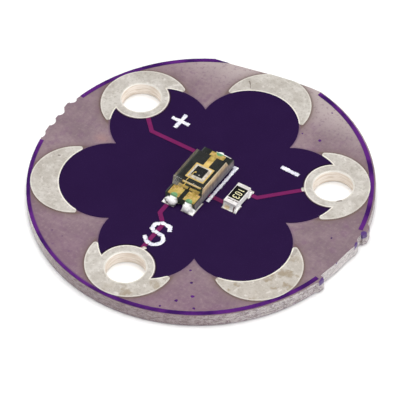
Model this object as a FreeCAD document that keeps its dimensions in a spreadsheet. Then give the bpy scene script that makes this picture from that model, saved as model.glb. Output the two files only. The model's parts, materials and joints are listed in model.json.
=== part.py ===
import FreeCAD, Part
import Sketcher
import math
import os

# Light sensor module: a round sew-on board with a clear-moulded phototransistor and a chip resistor.
# Millimetres. The underside lies on z = 0 and +Z is up. The origin is the centre of the petal pattern.
# +Y runs along the sensor, away from the tab of the signal.

os.makedirs("parts", exist_ok=True)

doc = FreeCAD.newDocument("light_sensor_module")
sheet = doc.addObject("Spreadsheet::Sheet", "size")

SIZES = [
    # Board
    ("board_diameter", 20.0),
    ("board_shift", 0.06),
    ("laminate_thickness", 0.8),
    ("copper_thickness", 0.04),
    ("mask_thickness", 0.025),
    ("mask_over_trace", 0.015),
    ("mask_clearance", 0.05),
    # Petals of the mask, and the crescents that lie beyond them
    ("petal_radius", 2.9),
    ("petal_inset", 4.8),
    ("crescent_radius", 2.58),
    ("crescent_inset", 0.25),
    ("crescent_tip_radius", 0.16),
    # Sew tabs
    ("tab_inset", 2.38),
    ("sew_hole_radius", 1.17),
    ("barrel_plating", 0.02),
    ("tab_ring_width", 0.48),
    # Mask rim at the board's edge
    ("rim_inset", 0.04),
    ("rim_width", 0.26),
    # Traces
    ("trace_width", 0.23),
    ("diagonal_lift", 0.1),
    ("signal_bend_drop", 0.79),
    ("link_offset", 0.57),
    # Pads of the sensor on the board
    ("sensor_pad_width", 0.76),
    ("sensor_pad_length", 1.07),
    ("sensor_pad_overhang", 0.32),
    ("sensor_pad_splay", 0.3),
    ("sensor_far_pad_width", 0.97),
    ("sensor_far_pad_length", 1.3),
    ("sensor_far_pad_overhang", 0.48),
    # Sensor package
    ("solder_film", 0.03),
    ("carrier_width", 2.0),
    ("carrier_length", 4.1),
    ("carrier_thickness", 0.5),
    ("lead_thickness", 0.03),
    ("half_hole_pitch", 1.0),
    ("half_hole_radius", 0.25),
    ("half_hole_shift", 0.08),
    ("plug_depth", 0.12),
    # Gold on the carrier. It lies a little off the middle.
    ("gold_shift", 0.04),
    ("contact_pitch", 1.03),
    ("contact_width", 0.75),
    ("contact_length", 0.7),
    ("contact_neck_width", 0.4),
    ("contact_neck_length", 0.1),
    ("landing_width", 0.65),
    ("landing_length", 0.3),
    ("landing_pitch", 0.77),
    ("crossbar_width", 0.93),
    ("crossbar_length", 0.5),
    ("crossbar_setback", 0.06),
    ("stem_width", 0.36),
    ("die_pad_margin", 0.08),
    # Die and its glue
    ("die_side", 0.72),
    ("die_thickness", 0.18),
    ("die_shift", 0.05),
    ("glue_under_die", 0.02),
    ("glue_spread", 0.17),
    ("attach_height", 0.12),
    ("attach_slope", 45.0),
    ("moulding_height", 0.57),
    ("near_shelf", 0.73),
    ("far_shelf", 0.53),
    ("near_draft", 0.14),
    ("far_draft", 0.28),
    # Bond wire, from the die to the emitter's landing
    ("wire_radius", 0.02),
    ("ball_radius", 0.06),
    ("ball_x", 0.15),
    ("ball_y", 0.18),
    ("wire_rise", 0.16),
    ("wire_foot", 0.12),
    ("wire_crown_bend", 0.08),
    ("wire_foot_bend", 0.1),
    # Solder of the sensor
    ("solder_foot_radius", 0.2),
    ("solder_belly_radius", 0.29),
    ("solder_top_radius", 0.1),
    ("solder_height", 0.46),
    ("solder_offset", 0.13),
    ("far_solder_foot_radius", 0.44),
    ("far_solder_waist_radius", 0.28),
    ("far_solder_top_radius", 0.16),
    # Chip resistor
    ("resistor_gap", 1.1),
    ("resistor_length", 1.6),
    ("resistor_width", 0.84),
    ("resistor_height", 0.46),
    ("cap_thickness", 0.03),
    ("cap_reach", 0.315),
    ("coat_inset", 0.045),
    ("coat_thickness", 0.03),
    ("coat_offset", 0.07),
    ("film_inset", 0.05),
    ("film_thickness", 0.015),
    ("resistor_pad_length", 0.62),
    ("resistor_pad_overhang", 0.18),
    ("resistor_pad_margin", 0.03),
    ("resistor_pad_offset", 0.05),
    ("resistor_solder_height", 0.32),
    ("resistor_solder_hollow", 0.11),
]

# Sizes that follow from others.
DERIVED = [
    ("petal_pitch_radius", "=board_diameter / 2 - petal_inset"),
    ("crescent_pitch_radius", "=board_diameter / 2 - crescent_inset - crescent_radius"),
    ("tab_pitch_radius", "=board_diameter / 2 - tab_inset"),
    ("tab_ring_radius", "=sew_hole_radius + tab_ring_width"),
    ("rim_outer_radius", "=board_diameter / 2 - rim_inset"),
    ("sensor_pad_reach", "=carrier_length / 2 + sensor_pad_overhang"),
    ("sensor_far_pad_reach", "=carrier_length / 2 + sensor_far_pad_overhang"),
    ("sensor_pad_pitch", "=half_hole_pitch + sensor_pad_splay"),
    ("attach_side", "=die_side + 2 * glue_spread"),
    ("die_pad_side", "=attach_side + 2 * die_pad_margin"),
    ("resistor_pad_width", "=resistor_width + 2 * resistor_pad_margin"),
    ("resistor_pad_reach", "=resistor_length / 2 + resistor_pad_overhang"),
    ("resistor_x", "=carrier_width / 2 + resistor_gap + resistor_pad_width / 2"),
    ("coat_length", "=resistor_length - 2 * cap_reach"),
    ("coat_width", "=resistor_width - 2 * coat_inset"),
    ("film_width", "=coat_width - 2 * film_inset"),
]

for row, (word, entry) in enumerate(SIZES + DERIVED, start=1):
    sheet.set("A%d" % row, word)
    sheet.set("B%d" % row, str(entry))
    sheet.setAlias("B%d" % row, word)
doc.recompute()

# Levels, from the underside up.
COPPER = "size.copper_thickness"
LAMINATE_TOP = "(size.copper_thickness + size.laminate_thickness)"
COPPER_TOP = "(2 * size.copper_thickness + size.laminate_thickness)"
SEAT = "(2 * size.copper_thickness + size.laminate_thickness + size.solder_film)"
CARRIER_FLOOR = "(%s + size.lead_thickness)" % SEAT
CARRIER_TOP = "(%s + size.carrier_thickness)" % CARRIER_FLOOR
LEAD_TOP = "(%s + size.lead_thickness)" % CARRIER_TOP
DIE_FLOOR = "(%s + size.glue_under_die)" % LEAD_TOP
DIE_TOP = "(%s + size.die_thickness)" % DIE_FLOOR

# Tabs and crescents go round the board every 60 degrees.
PLUS, MINUS, SIGNAL = 150, 30, 270
PLAIN = (90, 210, 330)

nodes = {}


def value(formula):
    """The number that a formula on the sheet gives now."""
    return float(sheet.evalExpression(formula))


def name_node(item, label):
    """Make an item a piece of the module under its own name."""
    item.Label = label
    nodes[label] = item
    return item


def place(item, x="0", y="0", z="0"):
    """Tie an item's place to formulas."""
    for axis, formula in (("x", x), ("y", y), ("z", z)):
        item.setExpression("Placement.Base." + axis, formula)
    return item


# Plain solids and what joins them


def disc(name, radius, height, x="0", y="0", z="0"):
    item = doc.addObject("Part::Cylinder", name)
    item.setExpression("Radius", radius)
    item.setExpression("Height", height)
    return place(item, x, y, z)


def polar_disc(name, radius, height, angle, reach, z):
    """A disc at a distance from the centre, in the direction of an angle. Its seam faces inward."""
    item = disc(name, radius, height, "%s * cos(%d)" % (reach, angle), "%s * sin(%d)" % (reach, angle), z)
    item.Placement.Rotation = FreeCAD.Rotation(FreeCAD.Vector(0, 0, 1), angle + 180)
    return item


def block(name, width, length, height, x="0", y="0", z="0"):
    """A block centred on x and y that stands on z."""
    item = doc.addObject("Part::Box", name)
    item.setExpression("Length", width)
    item.setExpression("Width", length)
    item.setExpression("Height", height)
    return place(item, "%s - (%s) / 2" % (x, width), "%s - (%s) / 2" % (y, length), z)


def fuse(name, items):
    item = doc.addObject("Part::MultiFuse", name)
    item.Shapes = items
    item.Refine = True
    return item


def common(name, items):
    item = doc.addObject("Part::MultiCommon", name)
    item.Shapes = items
    return item


def cut(name, base, tools):
    """Take one or more tools away from a base, one after another."""
    for number, tool in enumerate(tools, start=1):
        item = doc.addObject("Part::Cut", name if number == len(tools) else "%s_step_%d" % (name, number))
        item.Base = base
        item.Tool = tool
        base = item
    return base


def extrude(name, base, height):
    item = doc.addObject("Part::Extrusion", name)
    item.Base = base
    item.DirMode = "Custom"
    item.Dir = FreeCAD.Vector(0, 0, 1)
    item.setExpression("LengthFwd", height)
    item.Solid = True
    return item


# Sketches


def bound_path(sketch, points, closed=True):
    """Straight lines through points whose coordinates are formulas."""
    spots = [FreeCAD.Vector(value(x), value(y), 0) for x, y in points]
    ends = spots[1:] + spots[:1] if closed else spots[1:]
    for start, end in zip(spots, ends):
        sketch.addGeometry(Part.LineSegment(start, end), False)
    lines = len(ends)
    for corner in range(1, lines):
        sketch.addConstraint(Sketcher.Constraint("Coincident", corner - 1, 2, corner, 1))
    if closed:
        sketch.addConstraint(Sketcher.Constraint("Coincident", lines - 1, 2, 0, 1))
    for corner, formulas in enumerate(points):
        line, line_end = (corner, 1) if corner < lines else (corner - 1, 2)
        spot = spots[corner]
        for kind, number, formula in (("DistanceX", spot.x, formulas[0]), ("DistanceY", spot.y, formulas[1])):
            label = "%s_%d" % (kind, corner)
            made = sketch.addConstraint(Sketcher.Constraint(kind, -1, 1, line, line_end, number))
            sketch.renameConstraint(made, label)
            sketch.setExpression("Constraints." + label, formula)
    return sketch


def flat_outline(name, steps):
    """A closed outline. A step of two numbers is a line to a point, one of four an arc through a point."""
    sketch = doc.addObject("Sketcher::SketchObject", name)
    here = first = FreeCAD.Vector(steps[0][0], steps[0][1], 0)
    for step in steps[1:]:
        there = FreeCAD.Vector(step[-2], step[-1], 0)
        if len(step) == 4:
            sketch.addGeometry(Part.Arc(here, FreeCAD.Vector(step[0], step[1], 0), there), False)
        else:
            sketch.addGeometry(Part.LineSegment(here, there), False)
        here = there
    if here.distanceToPoint(first) > 1e-6:
        sketch.addGeometry(Part.LineSegment(here, first), False)
    return sketch


def new_body(name, label=None):
    body = doc.addObject("PartDesign::Body", name)
    body.Label = label or name
    return body


def sketch_on(body, name, role):
    """An empty sketch on one of a body's own origin planes."""
    sketch = body.newObject("Sketcher::SketchObject", name)
    planes = [item for item in body.Origin.OriginFeatures if item.Role == role]
    sketch.AttachmentSupport = [(planes[0], "")]
    sketch.MapMode = "FlatFace"
    return sketch


def padded(body, sketch, length, midplane=False):
    pad = body.newObject("PartDesign::Pad", body.Name + "_pad")
    pad.Profile = sketch
    pad.setExpression("Length", length)
    pad.Midplane = midplane
    return pad


# Board outline with the rough edges of three broken panel tabs.
# Each edge profile is drawn with +X along the board's edge and +Y outward from it.

TOP_BREAK = [
    (-5.0, -1.0), (-4.7, -1.21), (-3.6, -1.03), (-1.5, -0.6), (0.0, -0.35), (1.3, -0.22), (1.95, -0.21),
    (2.1, 0.3), (-5.0, 0.3),
]
WEST_BREAK = [
    (1.9, 0.3), (1.75, -0.15), (1.55, -0.24, 1.35, -0.11), (1.28, 0.1), (0.72, 0.1), (0.66, -0.05),
    (0.42, -0.18, 0.12, -0.05), (0.06, 0.1), (-0.12, 0.1), (-0.22, -0.04), (-0.52, -0.2, -0.8, -0.11),
    (-0.9, 0.1), (-1.3, 0.1), (-1.38, -0.14), (-1.62, -0.25, -1.86, -0.22), (-2.0, 0.3),
]
WEST_STUB = [(1.33, -0.5), (1.28, 0.02), (1.18, 0.09), (0.8, 0.07), (0.62, -0.1), (0.62, -0.5)]
EAST_BREAK = [
    (-1.55, 0.3), (-1.5, -0.15), (-1.2, -0.2, -0.96, -0.09), (-0.88, 0.1), (-0.6, 0.1), (-0.52, -0.04),
    (-0.35, -0.07), (0.1, -0.16), (1.0, -0.24), (1.7, -0.38), (2.3, -0.49), (2.46, 0.3),
]
EAST_STUB_HIGH = [(-1.5, -0.5), (-1.48, -0.06), (-1.75, 0.06), (-2.2, -0.04), (-2.42, -0.29), (-2.42, -0.6)]
EAST_STUB_LOW = [(2.35, -0.7), (2.43, -0.2), (2.8, -0.27), (2.97, -0.46), (2.97, -0.8)]


def edge_profile(name, steps, angle, z):
    """Set an edge profile on the board's rim, facing outward at an angle."""
    sketch = flat_outline(name, steps)
    sketch.Placement.Rotation = FreeCAD.Rotation(FreeCAD.Vector(0, 0, 1), angle - 90)
    reach = "size.board_diameter / 2"
    x = "size.board_shift + %s * cos(%d)" % (reach, angle)
    y = "%s * sin(%d)" % (reach, angle)
    return place(sketch, x, y, z)


def board_outline(name, z, height):
    """The board's outline as a solid, with its three broken edges."""
    round_blank = disc(name + "_blank", "size.board_diameter / 2", height, x="size.board_shift", z=z)
    breaks = []
    for word, steps, angle in (("top", TOP_BREAK, 90), ("west", WEST_BREAK, 180), ("east", EAST_BREAK, 0)):
        profile = edge_profile("%s_%s_break" % (name, word), steps, angle, z)
        breaks.append(extrude("%s_%s_bite" % (name, word), profile, height))
    stubs = []
    for word, steps, angle in (("west", WEST_STUB, 180), ("east_high", EAST_STUB_HIGH, 0),
                               ("east_low", EAST_STUB_LOW, 0)):
        profile = edge_profile("%s_%s_profile" % (name, word), steps, angle, z)
        stubs.append(extrude("%s_%s_stub" % (name, word), profile, height))
    return fuse(name + "_outline", [cut(name + "_broken", round_blank, breaks)] + stubs)


trim = board_outline("trim", "0", COPPER_TOP)
BARREL_RADIUS = "(size.sew_hole_radius + size.barrel_plating)"


def barrels(name, radius, height, z):
    """One upright disc on each sew hole's axis."""
    return [polar_disc("%s_%d" % (name, angle), radius, height, angle, "size.tab_pitch_radius", z)
            for angle in (PLUS, MINUS, SIGNAL)]


laminate = board_outline("laminate", COPPER, "size.laminate_thickness")
drilled = barrels("drill", BARREL_RADIUS, COPPER_TOP, "0")
name_node(cut("laminate_drilled", laminate, drilled), "board_laminate")


# Copper


def crescent(name, angle, z):
    """A crescent between its own circle and the petal's, kept on the board.

    Its outline is four arcs that meet smoothly, drawn from its own centre with +X away from the board's.
    """
    own, petal = value("size.crescent_radius"), value("size.petal_radius")
    tip = value("size.crescent_tip_radius")
    apart = value("size.crescent_pitch_radius - size.petal_pitch_radius")
    along = ((petal + tip) ** 2 - (own - tip) ** 2 - apart ** 2) / (2 * apart)
    across = math.sqrt((own - tip) ** 2 - along ** 2)
    steps = {}
    for side in (1, -1):
        centre = FreeCAD.Vector(along, side * across, 0)
        outward = FreeCAD.Vector(centre).normalize()
        inward = FreeCAD.Vector(-apart - along, -side * across, 0).normalize()
        point = (outward + inward).normalize()
        steps[side] = [centre + way * tip for way in (outward, point, inward)]
    left, right = steps[1], steps[-1]
    outline = flat_outline(name + "_outline", [
        (right[0].x, right[0].y),
        (own, 0, left[0].x, left[0].y),
        (left[1].x, left[1].y, left[2].x, left[2].y),
        (petal - apart, 0, right[2].x, right[2].y),
        (right[1].x, right[1].y, right[0].x, right[0].y),
    ])
    outline.Placement.Rotation = FreeCAD.Rotation(FreeCAD.Vector(0, 0, 1), angle)
    reach = "size.crescent_pitch_radius"
    place(outline, "%s * cos(%d)" % (reach, angle), "%s * sin(%d)" % (reach, angle), z)
    return common(name + "_shape", [extrude(name + "_moon", outline, COPPER), trim])


for angle in PLAIN:
    name_node(crescent("top_%d" % angle, angle, LAMINATE_TOP), "top_crescent_%d" % angle)
    name_node(crescent("bottom_%d" % angle, angle, "0"), "bottom_crescent_%d" % angle)


def sew_tab(name, angle):
    """Both faces of a sew tab and the barrel between them, before its hole is cut."""
    pieces = []
    for side, z in (("top", LAMINATE_TOP), ("bottom", "0")):
        pieces.append(crescent("%s_%s" % (name, side), angle, z))
        pieces.append(polar_disc("%s_%s_ring" % (name, side), "size.tab_ring_radius", COPPER, angle,
                                 "size.tab_pitch_radius", z))
    pieces.append(polar_disc(name + "_barrel", BARREL_RADIUS, COPPER_TOP, angle, "size.tab_pitch_radius",
                             "0"))
    return pieces


def run(name, points):
    """The centre line of a trace, on top of the laminate."""
    sketch = doc.addObject("Sketcher::SketchObject", name)
    bound_path(sketch, points, closed=False)
    return place(sketch, z=LAMINATE_TOP)


def strip(name, centre_line, half_width, height):
    """A strip with round ends along a centre line."""
    edge = doc.addObject("Part::Offset2D", name + "_edge")
    edge.Source = centre_line
    edge.Mode = "Pipe"
    edge.Join = "Arc"
    edge.setExpression("Value", half_width)
    return extrude(name, edge, height)


# Pads of the board. Each is its width, length, and centre.
FAR_PAD = ("size.sensor_far_pad_width", "size.sensor_far_pad_length", "0",
           "(size.sensor_far_pad_reach - size.sensor_far_pad_length / 2)")
LEFT_PAD = ("size.sensor_pad_width", "size.sensor_pad_length", "(-size.sensor_pad_pitch / 2)",
            "(size.sensor_pad_length / 2 - size.sensor_pad_reach)")
RIGHT_PAD = ("size.sensor_pad_width", "size.sensor_pad_length", "(size.sensor_pad_pitch / 2)",
             "(size.sensor_pad_length / 2 - size.sensor_pad_reach)")
RESISTOR_FAR_PAD = ("size.resistor_pad_width", "size.resistor_pad_length", "size.resistor_x",
                    "(size.resistor_pad_offset + size.resistor_pad_reach - size.resistor_pad_length / 2)")
RESISTOR_NEAR_PAD = ("size.resistor_pad_width", "size.resistor_pad_length", "size.resistor_x",
                     "(size.resistor_pad_offset + size.resistor_pad_length / 2 - size.resistor_pad_reach)")


def pad(name, place_and_size):
    width, length, x, y = place_and_size
    return block(name, width, length, COPPER, x, y, LAMINATE_TOP)


# A trace starts in the metal of its tab's ring, midway between the hole and the ring's edge.
MID_RING = "(size.sew_hole_radius + size.tab_ring_radius) / 2"


def tab_centre(angle):
    return "size.tab_pitch_radius * cos(%d)" % angle, "size.tab_pitch_radius * sin(%d)" % angle


def diagonal_from_tab(angle, toward, level):
    """Points of a trace that leaves a tab at 45 degrees, aimed a little above its centre, and turns level."""
    x, y = tab_centre(angle)
    aim = "(%s + size.diagonal_lift)" % y
    bend = "%s + %d * (%s - %s)" % (x, toward, aim, level)
    start_x = "%s + %d * %s * cos(45)" % (x, toward, MID_RING)
    start_y = "%s - %s * cos(45)" % (aim, MID_RING)
    return [(start_x, start_y), (bend, level)]


plus_run = run("plus_run", diagonal_from_tab(PLUS, 1, FAR_PAD[3]) + [("0", FAR_PAD[3])])
minus_run = run("minus_run", diagonal_from_tab(MINUS, -1, RESISTOR_FAR_PAD[3])
                + [("size.resistor_x", RESISTOR_FAR_PAD[3])])
BEND_Y = "(-size.sensor_pad_reach - size.signal_bend_drop)"
signal_run = run("signal_run", [
    (LEFT_PAD[2], LEFT_PAD[3]),
    (LEFT_PAD[2], BEND_Y),
    ("0", "%s - size.sensor_pad_pitch / 2" % BEND_Y),
    ("0", "%s - size.tab_pitch_radius" % MID_RING),
])
link_run = run("link_run", [
    ("size.resistor_x", "-size.link_offset"),
    (LEFT_PAD[2], "-size.link_offset"),
    (LEFT_PAD[2], LEFT_PAD[3]),
])

TRACE_HALF = "size.trace_width / 2"


def net(label, angle, pieces):
    """A net: its sew tab, traces and pads as one piece of metal, with the sew hole through it."""
    metal = fuse(label + "_metal", sew_tab(label, angle) + pieces)
    hole = polar_disc(label + "_hole", "size.sew_hole_radius", COPPER_TOP, angle, "size.tab_pitch_radius",
                      "0")
    return name_node(cut(label + "_shape", metal, [hole]), label)


plus_net = net("plus_net", PLUS, [
    strip("plus_trace", plus_run, TRACE_HALF, COPPER),
    pad("plus_pad", FAR_PAD),
])
minus_net = net("minus_net", MINUS, [
    strip("minus_trace", minus_run, TRACE_HALF, COPPER),
    pad("minus_pad", RESISTOR_FAR_PAD),
])
signal_net = net("signal_net", SIGNAL, [
    strip("signal_trace", signal_run, TRACE_HALF, COPPER),
    strip("link_trace", link_run, TRACE_HALF, COPPER),
    pad("signal_pad", LEFT_PAD),
    pad("link_pad", RESISTOR_NEAR_PAD),
])
name_node(pad("spare_pad_shape", RIGHT_PAD), "spare_pad")


# Solder mask


def flower(name, z):
    """Six petals and the middle that joins them."""
    petals = [polar_disc("%s_petal_%d" % (name, angle), "size.petal_radius", "size.mask_thickness", angle,
                         "size.petal_pitch_radius", z) for angle in range(30, 390, 60)]
    middle = disc(name + "_middle", "size.petal_pitch_radius * cos(30)", "size.mask_thickness", z=z)
    return petals + [middle]


RING_OPENING = "size.tab_ring_radius + size.mask_clearance"
UNDERSIDE_MASK = "size.copper_thickness - size.mask_thickness"

ridges = [strip("ridge_%s" % centre_line.Name, centre_line, TRACE_HALF + " + size.mask_over_trace",
                "size.copper_thickness + size.mask_over_trace")
          for centre_line in (plus_run, minus_run, signal_run, link_run)]
openings = barrels("top_opening", RING_OPENING, "2 * size.copper_thickness", LAMINATE_TOP)
for word, (width, length, x, y) in (("far", FAR_PAD), ("left", LEFT_PAD), ("right", RIGHT_PAD),
                                    ("resistor_far", RESISTOR_FAR_PAD), ("resistor_near", RESISTOR_NEAR_PAD)):
    openings.append(block("opening_" + word, width + " + 2 * size.mask_clearance",
                          length + " + 2 * size.mask_clearance", "2 * size.copper_thickness", x, y,
                          LAMINATE_TOP))
top_flower = fuse("top_flower_film", flower("top_flower", LAMINATE_TOP) + ridges)
openings += [plus_net, minus_net, signal_net]
name_node(cut("top_flower_shape", top_flower, openings), "top_mask_flower")

underside_openings = barrels("bottom_opening", RING_OPENING, "size.mask_thickness", UNDERSIDE_MASK)
underside_flower = fuse("bottom_flower_film", flower("bottom_flower", UNDERSIDE_MASK))
name_node(cut("bottom_flower_shape", underside_flower, underside_openings), "bottom_mask_flower")

# The rim's three stretches, each by the angle it starts at and the angle it covers.
RIM_STRETCHES = (("west", 113, 55), ("south", 192, 153), ("east", 10.5, 67.5))


def rim_stretch(name, start, sweep, z):
    """An arc of the mask rim, trimmed to the board's edge."""
    outer = disc(name + "_outer", "size.rim_outer_radius", "size.mask_thickness", z=z)
    outer.Angle = sweep
    outer.Placement.Rotation = FreeCAD.Rotation(FreeCAD.Vector(0, 0, 1), start)
    inner = disc(name + "_inner", "size.rim_outer_radius - size.rim_width", "size.mask_thickness", z=z)
    arc = cut(name + "_arc", outer, [inner, crescent_places])
    return common(name + "_shape", [arc, trim])


# The rim gives way where a crescent reaches it.
crescent_places = fuse("crescent_places", [
    polar_disc("crescent_place_%d" % angle, "size.crescent_radius", COPPER_TOP, angle,
               "size.crescent_pitch_radius", "0") for angle in range(30, 390, 60)])
for word, start, sweep in RIM_STRETCHES:
    name_node(rim_stretch("top_rim_" + word, start, sweep, LAMINATE_TOP), "top_mask_rim_" + word)
    name_node(rim_stretch("bottom_rim_" + word, start, sweep, UNDERSIDE_MASK), "bottom_mask_rim_" + word)


# Phototransistor

carrier = new_body("carrier_body", "sensor_carrier")
carrier_plan = sketch_on(carrier, "carrier_plan", "XY_Plane")
bound_path(carrier_plan, [
    ("-size.carrier_width / 2", "-size.carrier_length / 2"),
    ("size.carrier_width / 2", "-size.carrier_length / 2"),
    ("size.carrier_width / 2", "size.carrier_length / 2"),
    ("-size.carrier_width / 2", "size.carrier_length / 2"),
])
padded(carrier, carrier_plan, "size.carrier_thickness")

# The three contacts: name, which end of the carrier, and x of the half hole and of the gold.
CONTACTS = (
    ("far", 1, "size.half_hole_shift", "size.gold_shift"),
    ("left", -1, "(size.half_hole_shift - size.half_hole_pitch / 2)",
     "(size.gold_shift - size.contact_pitch / 2)"),
    ("right", -1, "(size.half_hole_shift + size.half_hole_pitch / 2)",
     "(size.gold_shift + size.contact_pitch / 2)"),
)


def end_of_carrier(end):
    return "(%d * size.carrier_length / 2)" % end


holes_plan = sketch_on(carrier, "carrier_holes", "XY_Plane")
for number, (word, end, x, gold_x) in enumerate(CONTACTS):
    y = end_of_carrier(end)
    centre = FreeCAD.Vector(value(x), value(y), 0)
    radius = value("size.half_hole_radius")
    holes_plan.addGeometry(Part.Circle(centre, FreeCAD.Vector(0, 0, 1), radius), False)
    for constraint, formula in (
        (Sketcher.Constraint("Radius", number, radius), "size.half_hole_radius"),
        (Sketcher.Constraint("DistanceX", -1, 1, number, 3, centre.x), x),
        (Sketcher.Constraint("DistanceY", -1, 1, number, 3, centre.y), y),
    ):
        made = holes_plan.addConstraint(constraint)
        label = "%s_%s" % (constraint.Type, word)
        holes_plan.renameConstraint(made, label)
        holes_plan.setExpression("Constraints." + label, formula)
half_holes = carrier.newObject("PartDesign::Pocket", "half_holes")
half_holes.Profile = holes_plan
half_holes.Type = "ThroughAll"
half_holes.Midplane = True
place(carrier, z=CARRIER_FLOOR)
name_node(carrier, "sensor_carrier")

BARE_HOLE = "(size.half_hole_radius - size.lead_thickness)"
LEAD_STACK = "(size.carrier_thickness + 2 * size.lead_thickness)"


def lead(label, contact, width, length, setback, extra):
    """A gold lead: pads above and below the carrier and the plating of its half hole, as one piece."""
    end, hole_x, gold_x = contact[1:]
    y = end_of_carrier(end)
    top_y = "(%d * (size.carrier_length / 2 - %s - %s / 2))" % (end, setback, length)
    foot_y = "(%d * (size.carrier_length - size.contact_length) / 2)" % end
    pieces = [
        block(label + "_top", width, length, "size.lead_thickness", gold_x, top_y, CARRIER_TOP),
        block(label + "_foot", width, "size.contact_length", "size.lead_thickness", gold_x, foot_y, SEAT),
        disc(label + "_plating", "size.half_hole_radius", LEAD_STACK, hole_x, y, SEAT),
    ]
    within = block(label + "_within", "size.carrier_width", "size.carrier_length", LEAD_STACK, z=SEAT)
    whole = common(label + "_kept", [fuse(label + "_metal", pieces + extra), within])
    hole = disc(label + "_bare", BARE_HOLE, LEAD_STACK, hole_x, y, SEAT)
    return name_node(cut(label + "_shape", whole, [hole]), label)


LANDING_Y = ("(size.contact_length + size.contact_neck_length + size.landing_length / 2"
             " - size.carrier_length / 2)")


def landing_x(side):
    return "(size.gold_shift + %d * size.landing_pitch / 2)" % side


def near_lead(label, contact, side):
    """A lead at the near end. A narrow neck joins it to the landing of a bond wire, under the moulding."""
    neck_y = "(size.contact_length + size.contact_neck_length / 2 - size.carrier_length / 2)"
    neck = block(label + "_neck", "size.contact_neck_width", "size.contact_neck_length", "size.lead_thickness",
                 contact[3], neck_y, CARRIER_TOP)
    landing = block(label + "_landing", "size.landing_width", "size.landing_length", "size.lead_thickness",
                    landing_x(side), LANDING_Y, CARRIER_TOP)
    return lead(label, contact, "size.contact_width", "size.contact_length", "0", [neck, landing])


STEM_LENGTH = "(size.carrier_length / 2 - size.crossbar_setback - size.crossbar_length / 2)"
stem = block("stem", "size.stem_width", STEM_LENGTH, "size.lead_thickness", "size.gold_shift",
             STEM_LENGTH + " / 2", CARRIER_TOP)
die_pad = block("die_pad", "size.die_pad_side", "size.die_pad_side", "size.lead_thickness", "size.gold_shift",
                "-size.gold_shift", CARRIER_TOP)
collector_lead = lead("collector_lead", CONTACTS[0], "size.crossbar_width", "size.crossbar_length",
                      "size.crossbar_setback", [stem, die_pad])
emitter_lead = near_lead("emitter_lead", CONTACTS[1], -1)
spare_lead = near_lead("spare_lead", CONTACTS[2], 1)

# Each half hole is capped with a disc of green resist, level with the gold.
plugs = {}
for word, end, x, gold_x in CONTACTS:
    whole = disc("plug_" + word, BARE_HOLE, "size.plug_depth", x, end_of_carrier(end),
                 "%s - size.plug_depth" % LEAD_TOP)
    within = block("plug_%s_within" % word, "size.carrier_width", "size.carrier_length", LEAD_STACK, z=SEAT)
    plugs[word] = name_node(common("plug_%s_half" % word, [whole, within]), "contact_plug_" + word)

# The die sits in glue that climbs its sides.
glue = new_body("glue_body")
glue_plan = sketch_on(glue, "glue_plan", "XY_Plane")
bound_path(glue_plan, [
    ("-size.attach_side / 2", "-size.attach_side / 2"),
    ("size.attach_side / 2", "-size.attach_side / 2"),
    ("size.attach_side / 2", "size.attach_side / 2"),
    ("-size.attach_side / 2", "size.attach_side / 2"),
])
glue_pad = padded(glue, glue_plan, "size.attach_height")
glue_pad.TaperAngle = -1
glue_pad.setExpression("TaperAngle", "-size.attach_slope")
place(glue, "size.gold_shift", "-size.gold_shift", LEAD_TOP)
die = name_node(block("die_block", "size.die_side", "size.die_side", "size.die_thickness", "size.die_shift",
                      "-size.die_shift", DIE_FLOOR), "sensor_die")
attach = name_node(cut("attach_shape", glue, [die]), "die_attach")


def rounded_path(points, radii):
    """A wire of straight runs whose inner corners are rounded by arcs."""
    edges = []
    here = points[0]
    for before, corner, after, radius in zip(points, points[1:], points[2:], radii):
        arriving = (corner - before).normalize()
        leaving = (after - corner).normalize()
        setback = radius * math.tan(arriving.getAngle(leaving) / 2)
        first = corner - arriving * setback
        last = corner + leaving * setback
        inward = (leaving - arriving).normalize()
        centre = corner + inward * math.hypot(setback, radius)
        edges.append(Part.LineSegment(here, first).toShape())
        edges.append(Part.Arc(first, centre - inward * radius, last).toShape())
        here = last
    edges.append(Part.LineSegment(here, points[-1]).toShape())
    return Part.Wire(edges)


def bond_wire():
    """Gold wire from a ball on the die, over in a loop, down to the emitter's landing."""
    up = FreeCAD.Vector(0, 0, 1)
    radius = value("size.wire_radius")
    ball = FreeCAD.Vector(-value("size.ball_x"), -value("size.ball_y"), value(DIE_TOP))
    landing = FreeCAD.Vector(value(landing_x(-1)), value(LANDING_Y), value(LEAD_TOP) + radius)
    across = FreeCAD.Vector(landing.x - ball.x, landing.y - ball.y, 0).normalize()
    crown = ball + up * value("size.wire_rise")
    foot = landing - across * value("size.wire_foot")
    bends = [value("size.wire_crown_bend"), value("size.wire_foot_bend")]
    path = rounded_path([ball, crown, foot, landing], bends)
    section = Part.Wire(Part.makeCircle(radius, ball, up))
    strand = path.makePipeShell([section], True, True)
    head = Part.makeSphere(value("size.ball_radius"), ball, up, 0, 90, 360)
    return strand.fuse(head)


wire = doc.addObject("Part::Feature", "wire")
wire.Shape = bond_wire()
name_node(wire, "bond_wire")

# The moulding is sawn flush with the carrier's long sides and its ends slope.
moulding = new_body("moulding_body")
moulding_side = sketch_on(moulding, "moulding_side", "YZ_Plane")
MOULDING_TOP = CARRIER_TOP + " + size.moulding_height"
bound_path(moulding_side, [
    ("size.near_shelf - size.carrier_length / 2", CARRIER_TOP),
    ("size.carrier_length / 2 - size.far_shelf", CARRIER_TOP),
    ("size.carrier_length / 2 - size.far_shelf - size.far_draft", MOULDING_TOP),
    ("size.near_shelf + size.near_draft - size.carrier_length / 2", MOULDING_TOP),
])
padded(moulding, moulding_side, "size.carrier_width", midplane=True)
inside = [collector_lead, emitter_lead, spare_lead, attach, die, wire]
name_node(cut("clear_shape", moulding, inside), "clear_body")

# Solder of the sensor: it fills each half hole, stands on the pad outside it and lies under the lead.
BARE_HEIGHT = "(%s - size.plug_depth - %s)" % (LEAD_TOP, COPPER_TOP)


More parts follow.
